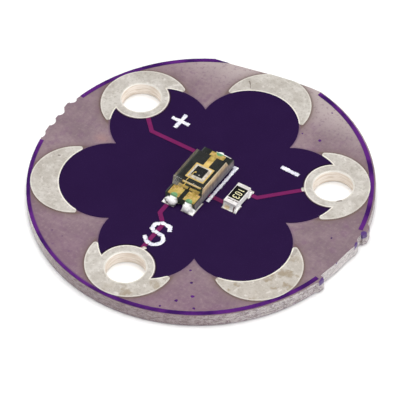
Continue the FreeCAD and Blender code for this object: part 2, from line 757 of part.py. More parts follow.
def solder_mound(name, foot, middle, top, height):
    """A turned mound. Its side is an arc through a radius at half its height."""
    body = new_body(name)
    side = sketch_on(body, name + "_side", "XZ_Plane")
    foot, middle, top, height = (value(formula) for formula in (foot, middle, top, height))
    corners = [FreeCAD.Vector(x, y, 0) for x, y in ((0, 0), (foot, 0), (top, height), (0, height))]
    side.addGeometry(Part.LineSegment(corners[0], corners[1]), False)
    side.addGeometry(Part.Arc(corners[1], FreeCAD.Vector(middle, height / 2, 0), corners[2]), False)
    side.addGeometry(Part.LineSegment(corners[2], corners[3]), False)
    side.addGeometry(Part.LineSegment(corners[3], corners[0]), False)
    turned = body.newObject("PartDesign::Revolution", name + "_turned")
    turned.Profile = side
    turned.ReferenceAxis = (side, ["V_Axis"])
    turned.Angle = 360
    return body


# Each mound's radius at the foot, halfway up and at the top, and its height.
NEAR_MOUND = ("size.solder_foot_radius", "size.solder_belly_radius", "size.solder_top_radius",
              "size.solder_height")
FAR_MOUND = ("size.far_solder_foot_radius", "size.far_solder_waist_radius", "size.far_solder_top_radius",
             BARE_HEIGHT)
for contact, mound, offset, width in (
    (CONTACTS[0], FAR_MOUND, "", "size.crossbar_width"),
    (CONTACTS[1], NEAR_MOUND, " - size.solder_offset", "size.contact_width"),
    (CONTACTS[2], NEAR_MOUND, " - size.solder_offset", "size.contact_width"),
):
    word, end, hole_x, gold_x = contact
    mound_y = end_of_carrier(end) + offset
    turned = place(solder_mound("mound_" + word, *mound), hole_x, mound_y, COPPER_TOP)
    outside_y = "(%d * (size.carrier_length + size.carrier_width) / 2)" % end
    outside = block("outside_" + word, "size.carrier_width", "size.carrier_width", BARE_HEIGHT, hole_x, outside_y,
                    COPPER_TOP)
    fill = disc("fill_" + word, BARE_HOLE, BARE_HEIGHT, hole_x, end_of_carrier(end), COPPER_TOP)
    film_y = "(%d * (size.carrier_length - size.contact_length) / 2)" % end
    under_lead = block("film_" + word, width, "size.contact_length", "size.solder_film", gold_x, film_y, COPPER_TOP)
    mound_kept = common("mound_%s_kept" % word, [turned, outside])
    name_node(fuse("joint_%s_shape" % word, [mound_kept, fill, under_lead]), "solder_sensor_" + word)


# Chip resistor

RESISTOR_FLOOR = "(%s + size.cap_thickness)" % SEAT
RESISTOR_TOP = "(%s + size.resistor_height - size.cap_thickness)" % SEAT
CORE_HEIGHT = "(size.resistor_height - 2 * size.cap_thickness)"
CORE_LENGTH = "(size.resistor_length - 2 * size.cap_thickness)"

ceramic = block("ceramic", "size.resistor_width", CORE_LENGTH, CORE_HEIGHT, "size.resistor_x", "0",
                RESISTOR_FLOOR)
name_node(ceramic, "resistor_ceramic")
film = block("film", "size.film_width", "size.coat_length", "size.film_thickness", "size.resistor_x",
             "size.coat_offset", RESISTOR_TOP)
name_node(film, "resistor_film")
coat = block("coat", "size.coat_width", "size.coat_length", "size.coat_thickness", "size.resistor_x",
             "size.coat_offset", RESISTOR_TOP)
name_node(cut("coat_shape", coat, [film]), "resistor_overcoat")


def coat_end(end):
    """Where the coat stops and a cap begins, along the resistor."""
    return "(size.coat_offset + %d * size.coat_length / 2)" % end


def end_cap(label, end):
    """A plated cap folded over one end of the ceramic, up to the coat."""
    body = new_body(label + "_body")
    side = sketch_on(body, label + "_side", "YZ_Plane")
    tip = "%d * size.resistor_length / 2" % end
    inner = "%d * (size.resistor_length / 2 - size.cap_thickness)" % end
    wrap = coat_end(end)
    top = "%s + size.resistor_height" % SEAT
    bound_path(side, [(wrap, SEAT), (tip, SEAT), (tip, top), (wrap, top),
                      (wrap, RESISTOR_TOP), (inner, RESISTOR_TOP), (inner, RESISTOR_FLOOR),
                      (wrap, RESISTOR_FLOOR)])
    padded(body, side, "size.resistor_width", midplane=True)
    place(body, x="size.resistor_x")
    return name_node(body, label)


end_cap("resistor_cap_far", 1)
end_cap("resistor_cap_near", -1)


def cap_solder(label, end):
    """Solder under a cap and up its end in a hollow fillet."""
    body = new_body(label + "_body")
    side = sketch_on(body, label + "_side", "YZ_Plane")
    pad_end = "(size.resistor_pad_offset + %d * size.resistor_pad_reach)" % end
    bound_path(side, [
        (coat_end(end), COPPER_TOP),
        (pad_end, COPPER_TOP),
        ("(%s + %d * size.resistor_length / 2) / 2" % (pad_end, end),
         "%s + size.resistor_solder_hollow" % COPPER_TOP),
        ("%d * size.resistor_length / 2" % end, "%s + size.resistor_solder_height" % COPPER_TOP),
        ("%d * size.resistor_length / 2" % end, SEAT),
        (coat_end(end), SEAT),
    ])
    padded(body, side, "size.resistor_width", midplane=True)
    place(body, x="size.resistor_x")
    return name_node(body, label)


cap_solder("solder_resistor_far", 1)
cap_solder("solder_resistor_near", -1)

doc.recompute()

# Every object has to have worked before anything is written.
for item in doc.Objects:
    if "Invalid" in item.State or "Error" in item.State:
        raise RuntimeError("%s did not recompute: %s" % (item.Name, item.State))
for label, item in nodes.items():
    if item.Shape.isNull() or not item.Shape.isValid() or not item.Shape.Solids:
        raise RuntimeError("%s has no valid solid" % label)

for label, item in nodes.items():
    item.Shape.exportStep("parts/%s.step" % label)
    solids = item.Shape.Solids
    print("%-24s %d solid(s) %9.5f mm3" % (label, len(solids), sum(solid.Volume for solid in solids)))
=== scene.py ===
"""Light sensor module: looks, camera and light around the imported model."""
import json
import math
import random

import bmesh
import bpy
from mathutils import Matrix, Vector
from mathutils.bvhtree import BVHTree


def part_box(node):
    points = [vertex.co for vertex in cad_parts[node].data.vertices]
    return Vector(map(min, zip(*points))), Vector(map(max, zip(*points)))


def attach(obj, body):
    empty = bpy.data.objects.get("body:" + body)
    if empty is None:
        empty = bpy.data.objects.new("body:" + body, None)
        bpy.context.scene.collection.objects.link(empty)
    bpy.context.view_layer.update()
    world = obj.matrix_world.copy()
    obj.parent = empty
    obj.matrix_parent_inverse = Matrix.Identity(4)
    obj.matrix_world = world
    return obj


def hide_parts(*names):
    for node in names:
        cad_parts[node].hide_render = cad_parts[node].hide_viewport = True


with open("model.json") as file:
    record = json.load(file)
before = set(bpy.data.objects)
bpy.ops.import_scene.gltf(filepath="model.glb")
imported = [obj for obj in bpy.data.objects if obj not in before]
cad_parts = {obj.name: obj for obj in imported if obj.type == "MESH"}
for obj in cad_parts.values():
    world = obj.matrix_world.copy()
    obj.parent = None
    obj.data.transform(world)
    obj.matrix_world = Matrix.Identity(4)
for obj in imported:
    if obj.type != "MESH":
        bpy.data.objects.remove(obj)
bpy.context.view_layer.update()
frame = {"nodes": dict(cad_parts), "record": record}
NODES = frame["nodes"]

MM = 0.001


def box_corners(name):
    """The low and the high corner of a node's box, in mm."""
    return [[round(c / MM, 4) for c in corner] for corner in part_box(name)]


# Sizes and places in mm. Heights are above the underside.
MASK_TOP = box_corners("top_mask_rim_south")[1][2]
COPPER_TOP = box_corners("spare_pad")[1][2]
LAMINATE_TOP = box_corners("board_laminate")[1][2]
CLEAR_HALF_WIDTH = box_corners("clear_body")[1][0]
CARRIER_HALF_LENGTH = box_corners("sensor_carrier")[1][1]
SENSOR_PAD_NEAR = box_corners("spare_pad")[0][1]
BOARD_SHIFT = 0.06  # the board's outline lies this far to +X of the petal pattern
PRINT_X = 2.6       # middle of what is printed on the resistor, a little off the resistor's own
COAT_Y = 0.07       # middle of the coat

# Circles of the board's pattern in mm: how far out on a petal's middle line, and radius.
PETAL = (5.2, 2.9)
CRESCENT = (7.17, 2.58)
RING = (7.62, 1.65)
HOLE = (7.62, 1.17)


def linear(channel):
    """One channel, written 0 to 255 as it looks on screen, as linear light."""
    share = channel / 255
    return ((share + 0.055) / 1.055) ** 2.4 if channel > 10 else share / 12.92


def srgb(red, green, blue):
    """A colour, written as it looks on screen, as linear light."""
    return linear(red), linear(green), linear(blue), 1


# Node materials


class Shader:
    """A material under construction. Positions in it are in millimetres in the row frame."""

    def __init__(self, name):
        self.material = bpy.data.materials.new(name)
        self.material.use_nodes = True
        self.tree = self.material.node_tree
        self.surface = self.tree.nodes["Principled BSDF"]
        place = self.add("ShaderNodeTexCoord").outputs["Object"]
        self.position = self.vector_math("SCALE", place, scale=1 / MM)
        split = self.add("ShaderNodeSeparateXYZ")
        self.link(self.position, split.inputs[0])
        self.x, self.y, self.z = split.outputs

    def add(self, kind, **settings):
        node = self.tree.nodes.new(kind)
        for key, setting in settings.items():
            setattr(node, key, setting)
        return node

    def link(self, source, socket):
        if hasattr(source, "links"):
            self.tree.links.new(source, socket)
        else:
            socket.default_value = source

    def math(self, operation, *values, clamp=False):
        node = self.add("ShaderNodeMath", operation=operation, use_clamp=clamp)
        for socket, value in zip(node.inputs, values):
            self.link(value, socket)
        return node.outputs[0]

    def vector_math(self, operation, *values, scale=None):
        node = self.add("ShaderNodeVectorMath", operation=operation)
        for socket, value in zip(node.inputs, values):
            self.link(value, socket)
        if scale is not None:
            node.inputs["Scale"].default_value = scale
        return node.outputs[0]

    def stretched(self, x, y, z):
        return self.vector_math("MULTIPLY", self.position, (x, y, z))

    def noise(self, scale, detail=3, roughness=0.5, vector=None, distortion=0):
        node = self.add("ShaderNodeTexNoise")
        self.link(vector or self.position, node.inputs["Vector"])
        node.inputs["Scale"].default_value = scale
        node.inputs["Detail"].default_value = detail
        node.inputs["Roughness"].default_value = roughness
        node.inputs["Distortion"].default_value = distortion
        return node.outputs["Fac"]

    def smooth(self, value, low, high):
        """0 up to low, 1 from high on, smooth between. With low above high it runs the other way."""
        node = self.add("ShaderNodeMapRange", interpolation_type="SMOOTHSTEP")
        self.link(value, node.inputs["Value"])
        ends = (0, 1) if low < high else (1, 0)
        node.inputs["From Min"].default_value = min(low, high)
        node.inputs["From Max"].default_value = max(low, high)
        node.inputs["To Min"].default_value, node.inputs["To Max"].default_value = ends
        return node.outputs[0]

    def apart(self, value, middle):
        """How far a value lies from a middle one, either way."""
        return self.math("ABSOLUTE", self.math("SUBTRACT", value, middle))

    def span(self, value, low, high):
        """Spread a value from 0..1 over low..high."""
        return self.math("MULTIPLY_ADD", value, high - low, low)

    def times(self, *values):
        result = values[0]
        for value in values[1:]:
            result = self.math("MULTIPLY", result, value)
        return result

    def mix(self, factor, first, second):
        node = self.add("ShaderNodeMix", data_type="RGBA")
        self.link(factor, node.inputs["Factor"])
        self.link(first, node.inputs["A"])
        self.link(second, node.inputs["B"])
        return node.outputs["Result"]

    def bump(self, height, distance):
        """Bumps whose height is a value times a distance in millimetres."""
        node = self.add("ShaderNodeBump")
        node.inputs["Distance"].default_value = distance * MM
        self.link(height, node.inputs["Height"])
        self.link(node.outputs[0], self.surface.inputs["Normal"])

    def set(self, **sockets):
        for key, value in sockets.items():
            self.link(value, self.surface.inputs[key.replace("_", " ")])

    def let_lamps_through(self, share):
        """Rays toward a lamp pass, as they would through real clear resin. The rest see the surface."""
        passed = self.add("ShaderNodeBsdfTransparent")
        passed.inputs["Color"].default_value = (share, share, share, 1)
        blend = self.add("ShaderNodeMixShader")
        output = self.tree.nodes["Material Output"]
        self.link(self.add("ShaderNodeLightPath").outputs["Is Shadow Ray"], blend.inputs[0])
        self.link(self.surface.outputs[0], blend.inputs[1])
        self.link(passed.outputs[0], blend.inputs[2])
        self.link(blend.outputs[0], output.inputs["Surface"])

    # Distances on the board, outward positive

    def in_sector(self):
        """Distance out and across from the middle line of the petal that a point belongs to."""
        square = self.math("ADD", self.math("POWER", self.x, 2.0), self.math("POWER", self.y, 2.0))
        reach = self.math("SQRT", square)
        angle = self.math("ARCTAN2", self.y, self.x)
        folded = self.math("SUBTRACT", self.math("FLOORED_MODULO", angle, math.pi / 3), math.pi / 6)
        return self.times(reach, self.math("COSINE", folded)), self.times(reach, self.math("SINE", folded))

    def by_hole(self):
        """1 in the three sectors with a sew hole, 0 in the three with a plain crescent."""
        angle = self.math("ARCTAN2", self.y, self.x)
        return self.smooth(self.math("SINE", self.times(angle, 3.0)), -0.1, 0.1)

    def past_circle(self, along, across, centre, radius):
        """Distance outside a circle that is centred on a petal's middle line. Negative inside it."""
        offset = self.math("SUBTRACT", along, centre)
        square = self.math("ADD", self.times(offset, offset), self.times(across, across))
        return self.math("SUBTRACT", self.math("SQRT", square), radius)

    def near_line(self, start, end, half_width, soft=0.02):
        """1 within a half width of a straight line between two places on the board, 0 away from it."""
        run = (end[0] - start[0], end[1] - start[1])
        square = run[0] ** 2 + run[1] ** 2
        from_x = self.math("SUBTRACT", self.x, start[0])
        from_y = self.math("SUBTRACT", self.y, start[1])
        share = self.math("ADD", self.times(from_x, run[0] / square),
                          self.times(from_y, run[1] / square), clamp=True)
        off_x = self.math("SUBTRACT", from_x, self.times(share, run[0]))
        off_y = self.math("SUBTRACT", from_y, self.times(share, run[1]))
        away = self.math("SQRT", self.math("ADD", self.times(off_x, off_x), self.times(off_y, off_y)))
        return self.smooth(away, half_width + soft, half_width - soft)

    def sideways(self):
        """1 on faces that stand upright, 0 on level ones."""
        normal = self.add("ShaderNodeSeparateXYZ")
        self.link(self.add("ShaderNodeNewGeometry").outputs["True Normal"], normal.inputs[0])
        return self.smooth(self.math("ABSOLUTE", normal.outputs[2]), 0.8, 0.4)


# Scraps of mask left where the tabs broke: from, to and half width, in mm.
MASK_BLOTS = (
    ((9.96, 1.67), (10.09, 1.47), 0.17),
    ((10.02, 0.8), (10.09, 0.63), 0.1),
    ((9.79, -2.46), (9.83, -2.71), 0.1),
    ((9.91, -0.76), (9.98, -0.82), 0.05),
)
# Mask that ran down the board's wall: angle, half width in degrees, and the height it stops at, in mm.
WALL_SMEARS = ((12.3, 0.9, 0.62), (-6.0, 0.4, 0.7))


def wall_smears(s):
    """1 where mask ran down the board's wall, 0 elsewhere."""
    angle = s.math("MULTIPLY", s.math("ARCTAN2", s.y, s.math("SUBTRACT", s.x, BOARD_SHIFT)), 180 / math.pi)
    wander = s.span(s.noise(6, detail=2), -0.9, 0.9)
    total = 0.0
    for middle, half, stops in WALL_SMEARS:
        away = s.apart(s.math("ADD", angle, wander), middle)
        drop = s.math("ADD", s.z, s.times(wander, 0.12))
        patch = s.times(s.smooth(away, half + 0.25, half - 0.25),
                        s.smooth(drop, stops - 0.05, stops + 0.05))
        total = s.math("MAXIMUM", total, patch)
    return total


def laminate_face(s, threads):
    """Mauve and cloudy, with faint threads, darker beside the mask. Beside the metal it is darker and
    browner: painted shadow of the copper inside the translucent laminate.
    """
    along, across = s.in_sector()
    clouds = s.noise(0.55, detail=4)
    face = s.mix(s.smooth(clouds, 0.35, 0.65), srgb(124, 103, 111), srgb(142, 121, 127))
    face = s.mix(s.times(s.smooth(s.noise(1.3, detail=3), 0.5, 0.75), 0.5), face, srgb(120, 86, 113))
    face = s.mix(s.times(s.smooth(s.y, -4.5, -8.5), 0.45), face, srgb(126, 93, 114))
    # Much lighter toward the far edge: painted light.
    face = s.mix(s.times(s.smooth(s.y, 6.3, 9.2), 0.75), face, srgb(190, 177, 174))
    face = s.mix(s.times(s.smooth(threads, 0.55, 0.8), 0.06), face, srgb(190, 176, 178))
    grain = s.noise(5, detail=4, roughness=0.7)
    face = s.mix(s.times(s.smooth(grain, 0.52, 0.68), 0.3), face, srgb(164, 144, 147))
    face = s.mix(s.times(s.smooth(grain, 0.48, 0.34), 0.45), face, srgb(116, 84, 110))
    # Painted shadow: the copper's shade inside the translucent laminate, darker and browner close to the
    # metal.
    past_metal = s.past_circle(along, across, *CRESCENT)
    face = s.mix(s.times(s.smooth(past_metal, 0.6, 0.0), 0.4), face, srgb(112, 92, 88))
    face = s.mix(s.times(s.smooth(past_metal, 0.18, 0.03), 0.6), face, srgb(100, 80, 66))
    reddish = s.near_line((-6.83, -0.076), (-6.63, -0.076), 0.1, soft=0.55)
    face = s.mix(s.times(reddish, 0.35), face, srgb(190, 128, 108))
    near_mask = s.smooth(s.past_circle(along, across, *PETAL), 0.16, 0.0)
    return s.mix(s.times(near_mask, 0.7), face, srgb(112, 84, 112))


def laminate_edge(s, fibres):
    """Fibrous and pitted: grey, and paler where a tab broke off to the east. It is painted paler toward the
    west and darker toward the east and the south: painted light and shade by which way the edge faces. To
    the south it is browner too.
    """
    edge = s.mix(s.smooth(fibres, 0.38, 0.6), srgb(146, 134, 134), srgb(234, 228, 224))
    specks = s.smooth(s.noise(7, detail=2, vector=s.stretched(1, 1, 1.6)), 0.6, 0.68)
    # Painted shade toward the east and painted light toward the west, by which way the edge faces.
    edge = s.mix(s.times(s.smooth(s.x, 4, 9), 0.5), edge, srgb(138, 127, 132))
    edge = s.mix(s.times(s.smooth(s.x, -2, -6), 0.6), edge, srgb(226, 220, 216))
    edge = s.mix(s.times(specks, 0.7), edge, srgb(120, 86, 122))
    pits = s.smooth(s.noise(6, detail=4, roughness=0.8), 0.46, 0.38)
    edge = s.mix(s.times(pits, 0.7), edge, srgb(98, 84, 70))
    flecks = s.smooth(s.noise(8, detail=3, roughness=0.7), 0.54, 0.62)
    edge = s.mix(s.times(flecks, 0.55), edge, srgb(228, 222, 222))
    # Darker to the south: painted shade, with some of the laminate's own brown.
    from_south = s.apart(s.math("ARCTAN2", s.y, s.x), 0.12 - math.pi / 2)
    edge = s.mix(s.times(s.smooth(from_south, 0.85, 0.3), 0.55), edge, srgb(126, 108, 100))
    edge = s.mix(s.times(s.smooth(from_south, 1.0, 0.3), 0.3), edge, srgb(122, 92, 116))
    edge = s.mix(s.times(s.smooth(s.z, 0.09, 0.03), 0.5), edge, srgb(112, 76, 122))
    broken = s.times(s.smooth(s.x, 8.9, 9.3), s.smooth(s.y, -2.7, -2.4), s.smooth(s.y, 1.4, 1.0))
    return s.mix(s.times(broken, 0.3), edge, srgb(230, 226, 224))


def laminate_material():
    """Bare glass-epoxy: mauve on its faces, fibrous and grey on its sawn and broken edge."""
    s = Shader("laminate")
    threads = s.math("MAXIMUM", s.noise(9, detail=1, vector=s.stretched(1, 0.08, 1)),
                     s.noise(9, detail=1, vector=s.stretched(0.08, 1, 1)))
    fibres = s.noise(3.0, detail=5, roughness=0.65, vector=s.stretched(1, 1, 3.5))
    colour = s.mix(s.sideways(), laminate_face(s, threads), laminate_edge(s, fibres))
    for start, end, half_width in MASK_BLOTS:
        blot = s.times(s.near_line(start, end, half_width, soft=0.03), s.smooth(s.z, 0.5, 0.6))
        colour = s.mix(s.times(blot, 0.9), colour, srgb(74, 36, 118))
    colour = s.mix(s.times(s.sideways(), wall_smears(s)), colour, srgb(74, 34, 112))
    s.set(Base_Color=colour, Roughness=s.span(s.noise(4), 0.42, 0.6))
    s.surface.inputs["Specular IOR Level"].default_value = 0.3
    s.surface.inputs["IOR"].default_value = 1.5
    s.bump(s.math("ADD", s.times(threads, 0.5), s.times(s.sideways(), s.times(fibres, 6.0))), 0.012)
    return s.material


# Scratches and dirt on the tinned copper: from, to, half width in mm, and how dark.
TIN_MARKS = (
    ((-1.95, 8.3), (-1.78, 8.12), 0.035, 0.8), ((-1.78, 8.12), (-1.6, 7.85), 0.025, 0.6),
    ((-8.07, -2.56), (-8.02, -2.53), 0.06, 0.7), ((7.4, 2.94), (7.6, 3.08), 0.045, 0.9),
    ((7.41, -1.46), (7.43, -1.97), 0.1, 0.35),
)


def tin_rim_highlights(s, colour, along, across, past_hole):
    """A colour with painted highlights along the rims of the crescents, the petals, the rings and the holes,
    where their raised edges catch the light.
    """
    # Painted highlights where the raised tin edges catch the light.
    rim = s.smooth(s.past_circle(along, across, *CRESCENT), -0.12, -0.02)
    colour = s.mix(s.times(rim, 0.5), colour, srgb(235, 230, 222))
    ring, petal = s.past_circle(along, across, *RING), s.past_circle(along, across, *PETAL)
    plain = s.math("MAXIMUM", s.math("SUBTRACT", 1.0, s.by_hole()), s.smooth(ring, -0.02, 0.02))
    by_petal = s.times(s.smooth(s.apart(petal, 0.03), 0.06, 0.03), plain)
    by_ring = s.times(s.smooth(s.apart(ring, -0.03), 0.06, 0.02), s.by_hole(), s.smooth(petal, 0.1, 0.0))
    colour = s.mix(s.times(s.math("MAXIMUM", by_petal, by_ring), 0.6), colour, srgb(252, 247, 236))
    # Painted highlight on the lip round each sew hole.
    lip = s.smooth(s.apart(past_hole, 0.03), 0.045, 0.015)
    return s.mix(s.times(lip, 0.55, s.by_hole()), colour, srgb(240, 236, 228))


def tin_barrel(s):
    """The colour inside a sew hole: faint grooves round it, and a painted highlight at the top."""
    grooves = s.noise(1.0, detail=2, vector=s.stretched(1.2, 1.2, 16))
    barrel = s.mix(s.smooth(grooves, 0.4, 0.6), srgb(226, 213, 199), srgb(246, 238, 229))
    # Painted highlight where the barrel's upper edge catches the light.
    return s.mix(s.smooth(s.z, COPPER_TOP - 0.14, COPPER_TOP - 0.06), barrel, srgb(255, 253, 249))


def tin_material():
    """Hot-tinned copper: pale, mottled, with painted highlights on its rims and fine scratches."""
    s = Shader("tin")
    along, across = s.in_sector()
    past_hole = s.past_circle(along, across, *HOLE)
    patches = s.noise(1.6, detail=5, roughness=0.6)
    grain = s.noise(7, detail=4, roughness=0.7)
    colour = s.mix(s.smooth(patches, 0.3, 0.72), srgb(182, 175, 166), srgb(210, 205, 198))
    colour = s.mix(s.times(s.smooth(s.math("SUBTRACT", s.x, s.y), 7, 14), 0.6), colour, srgb(184, 175, 164))
    colour = s.mix(s.times(s.smooth(grain, 0.5, 0.68), 0.55), colour, srgb(156, 146, 132))
    worn = s.times(s.smooth(s.math("SUBTRACT", s.x, s.y), 8, 11),
                   s.smooth(s.noise(1.5, detail=4), 0.52, 0.66))
    colour = s.mix(s.times(worn, 0.7), colour, srgb(146, 128, 100))
    bare = s.smooth(s.noise(2.3, detail=4, roughness=0.6, distortion=0.5), 0.56, 0.7)
    colour = s.mix(s.times(bare, 0.6), colour, srgb(228, 223, 218))
    scratches = s.smooth(s.noise(3.2, detail=2, vector=s.stretched(1.0, 9.0, 1.0)), 0.66, 0.72)
    colour = s.mix(s.times(scratches, 0.35), colour, srgb(236, 233, 228))
    colour = tin_rim_highlights(s, colour, along, across, past_hole)
    for start, end, half_width, strength in TIN_MARKS:
        mark = s.times(s.near_line(start, end, half_width), s.smooth(s.z, 0.6, 0.7), strength)
        colour = s.mix(mark, colour, srgb(104, 90, 82))
    inside_hole = s.times(s.sideways(), s.smooth(past_hole, 0.03, 0.0))
    colour = s.mix(inside_hole, colour, tin_barrel(s))
    s.set(Base_Color=colour, Roughness=s.span(patches, 0.42, 0.62))
    s.surface.inputs["Metallic"].default_value = 0.35
    s.bump(s.math("ADD", grain, s.times(patches, 1.5)), 0.012)
    return s.material


def rim_material():
    """The narrow purple ring at the board's edge, painted lighter than the mask over the board: painted
    light, for light that comes up through the laminate under the thin ring. Toward the south-west it fades
    on its inner side.
    """
    s = Shader("mask_rim")
    drift = s.noise(0.9, detail=4)
    # Lighter than the mask over the board: painted light.
    colour = s.mix(s.smooth(drift, 0.35, 0.65), srgb(56, 20, 88), srgb(92, 36, 120))
    corners = NODES["top_mask_rim_south"].data.vertices
    reach = [math.hypot(v.co.x / MM - BOARD_SHIFT, v.co.y / MM) for v in corners]
    from_middle = s.math("SUBTRACT", s.x, BOARD_SHIFT)
    out = s.math("SQRT", s.math("ADD", s.times(from_middle, from_middle), s.times(s.y, s.y)))
    depth = s.math("DIVIDE", s.math("SUBTRACT", max(reach), out), max(reach) - min(reach))
    from_south_west = s.apart(s.math("ARCTAN2", s.y, s.x), math.radians(-125))
    faded = s.times(s.smooth(from_south_west, 0.75, 0.35), s.smooth(depth, 0.55, 0.7))
    colour = s.mix(s.times(faded, 0.85), colour, srgb(126, 100, 118))
    s.set(Base_Color=colour, Roughness=s.span(drift, 0.3, 0.42))
    s.surface.inputs["Specular IOR Level"].default_value = 0.06
    s.surface.inputs["IOR"].default_value = 1.5
    s.bump(s.noise(3.5, detail=3), 0.004)
    return s.material


def mask_material():
    """Purple solder mask: deep over the board, magenta where it is lifted over a trace."""
    s = Shader("mask")
    plain, raised = srgb(35, 15, 56), srgb(124, 36, 94)
    drift = s.noise(0.7, detail=3)
    colour = s.mix(drift, plain, tuple(min(1, c * 1.22) for c in plain[:3]) + (1,))
    fine = s.noise(14, detail=2)
    colour = s.mix(s.times(s.smooth(fine, 0.6, 0.75), 0.12), colour, srgb(92, 66, 122))
    lifted = s.smooth(s.z, MASK_TOP + 0.003, MASK_TOP + 0.019)
    lifted_colour = s.mix(s.noise(2.5, detail=3), raised, tuple(c * 0.72 for c in raised[:3]) + (1,))
    along, across = s.in_sector()
    # Painted shade: a thin near-black line in the crease between the mask and the ring.
    gap = s.smooth(s.apart(s.past_circle(along, across, *RING), 0.06), 0.07, 0.03)
    colour = s.mix(s.times(gap, 0.7, s.by_hole()), colour, srgb(24, 12, 22))
    by_resistor = s.near_line((1.35, -0.45), (2.3, -0.75), 0.35, soft=0.15)
    lifted_colour = s.mix(s.times(by_resistor, 0.5), lifted_colour, srgb(84, 30, 56))
    s.set(Base_Color=s.mix(lifted, colour, lifted_colour), Roughness=s.span(drift, 0.3, 0.42))
    s.surface.inputs["Specular IOR Level"].default_value = 0.06
    s.surface.inputs["IOR"].default_value = 1.5
    s.bump(s.math("ADD", s.noise(3.5, detail=3), s.times(fine, 0.2)), 0.004)
    return s.material


def metal_material(name, dark, light, metallic, rough, grain_scale, bump):
    """A metal with clouded colour, uneven polish and fine pits."""
    s = Shader(name)
    clouds = s.noise(grain_scale * 0.25, detail=4)
    grain = s.noise(grain_scale, detail=3, roughness=0.6)
    colour = s.mix(s.smooth(clouds, 0.35, 0.65), dark, light)
    s.set(Base_Color=colour, Roughness=s.span(grain, *rough))
    s.surface.inputs["Metallic"].default_value = metallic
    s.bump(grain, bump)
    return s.material


def gold_material():
    """Gold plate: grained and redder on the landings. Under the clear moulding it is painted brighter and
    less metallic: painted light.
    """
    s = Shader("gold")
    clouds, grain = s.noise(2.5, detail=4), s.noise(7.5, detail=4, roughness=0.7)
    colour = s.mix(s.smooth(clouds, 0.35, 0.65), srgb(168, 138, 62), srgb(204, 178, 96))
    colour = s.mix(s.times(s.smooth(grain, 0.52, 0.62), 0.75), colour, srgb(214, 172, 132))
    colour = s.mix(s.times(s.smooth(grain, 0.47, 0.38), 0.6), colour, srgb(146, 132, 48))
    # Painted light: the gold under the clear moulding is painted brighter and less metallic.
    painted_light_under_moulding = s.smooth(s.apart(s.y, 0.05), 1.0, 0.8)
    colour = s.mix(s.times(painted_light_under_moulding, 0.8), colour, srgb(236, 202, 118))
    s.set(Base_Color=colour, Roughness=s.span(grain, 0.34, 0.5), Metallic=s.span(painted_light_under_moulding, 0.6, 0.3))
    s.bump(grain, 0.006)
    return s.material


DIE_MARK = (0.09, -0.24)  # from the die's middle, in mm


def die_material():
    """The sensor's die: black glass with one pale test mark."""
    s = Shader("die")
    clouds, grain = s.noise(9, detail=3), s.noise(30, detail=3)
    colour = s.mix(s.smooth(clouds, 0.35, 0.65), srgb(8, 8, 10), srgb(20, 19, 22))
    low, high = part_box("sensor_die")
    spot = tuple((low[k] + high[k]) / 2 / MM + DIE_MARK[k] for k in (0, 1))
    mark = s.near_line(spot, (spot[0] + 0.02, spot[1]), 0.035)
    colour = s.mix(mark, colour, srgb(186, 182, 178))
    s.set(Base_Color=colour, Roughness=s.span(grain, 0.12, 0.22))
    s.surface.inputs["Specular IOR Level"].default_value = 0.5
    s.bump(clouds, 0.0005)
    return s.material


def ink_material():
    """White legend ink, thin and speckled where it did not cover."""
    s = Shader("ink")
    clouds, grain = s.noise(2.4, detail=3), s.noise(11, detail=3, roughness=0.7)
    colour = s.mix(s.smooth(clouds, 0.35, 0.65), srgb(224, 224, 238), srgb(250, 250, 254))
    colour = s.mix(s.times(s.smooth(grain, 0.52, 0.66), 0.6), colour, srgb(178, 174, 190))
    s.set(Base_Color=colour, Roughness=s.span(grain, 0.5, 0.65))
    s.bump(grain, 0.008)
    return s.material


def cap_material():
    """The resistor's plated caps, with a fine dark seam across the top of the near one."""
    s = Shader("cap")
    clouds, grain = s.noise(3.5, detail=4), s.noise(14, detail=3, roughness=0.6)
    colour = s.mix(s.smooth(clouds, 0.35, 0.65), srgb(214, 209, 205), srgb(238, 235, 234))
    middle = s.smooth(s.apart(s.x, PRINT_X), 0.4, 0.3)
    shade = s.times(s.smooth(s.apart(s.y, COAT_Y), 0.7, 0.6), middle)
    colour = s.mix(s.times(shade, 0.5), colour, srgb(190, 184, 180))
    seam = s.times(s.smooth(s.apart(s.y, -0.53), 0.03, 0.018), middle,
                   s.smooth(s.noise(9, detail=1), 0.38, 0.46), s.math("SUBTRACT", 1.0, s.sideways()))
    colour = s.mix(seam, colour, srgb(44, 40, 38))
    s.set(Base_Color=colour, Roughness=s.span(grain, 0.36, 0.55))
    s.surface.inputs["Metallic"].default_value = 0.12
    s.bump(grain, 0.008)
    return s.material


def plastic_material(name, dark, light, rough, grain_scale, bump, specular=0.4):
    """A plastic, resin or ceramic with a slight mottle and grain."""
    s = Shader(name)
    clouds = s.noise(grain_scale * 0.3, detail=3)
    grain = s.noise(grain_scale, detail=3)
    mottle = s.math("ADD", s.times(clouds, 0.6), s.times(grain, 0.4))
    colour = s.mix(s.smooth(mottle, 0.35, 0.65), dark, light)
    s.set(Base_Color=colour, Roughness=s.span(grain, *rough))
    s.surface.inputs["Specular IOR Level"].default_value = specular
    s.bump(grain, bump)
    return s.material


def saw_streaks(s):
    """Upright saw marks, 0 to 1, on faces cut across x or y."""
    return s.noise(20, detail=3, roughness=0.6, vector=s.stretched(1, 1, 0.05))


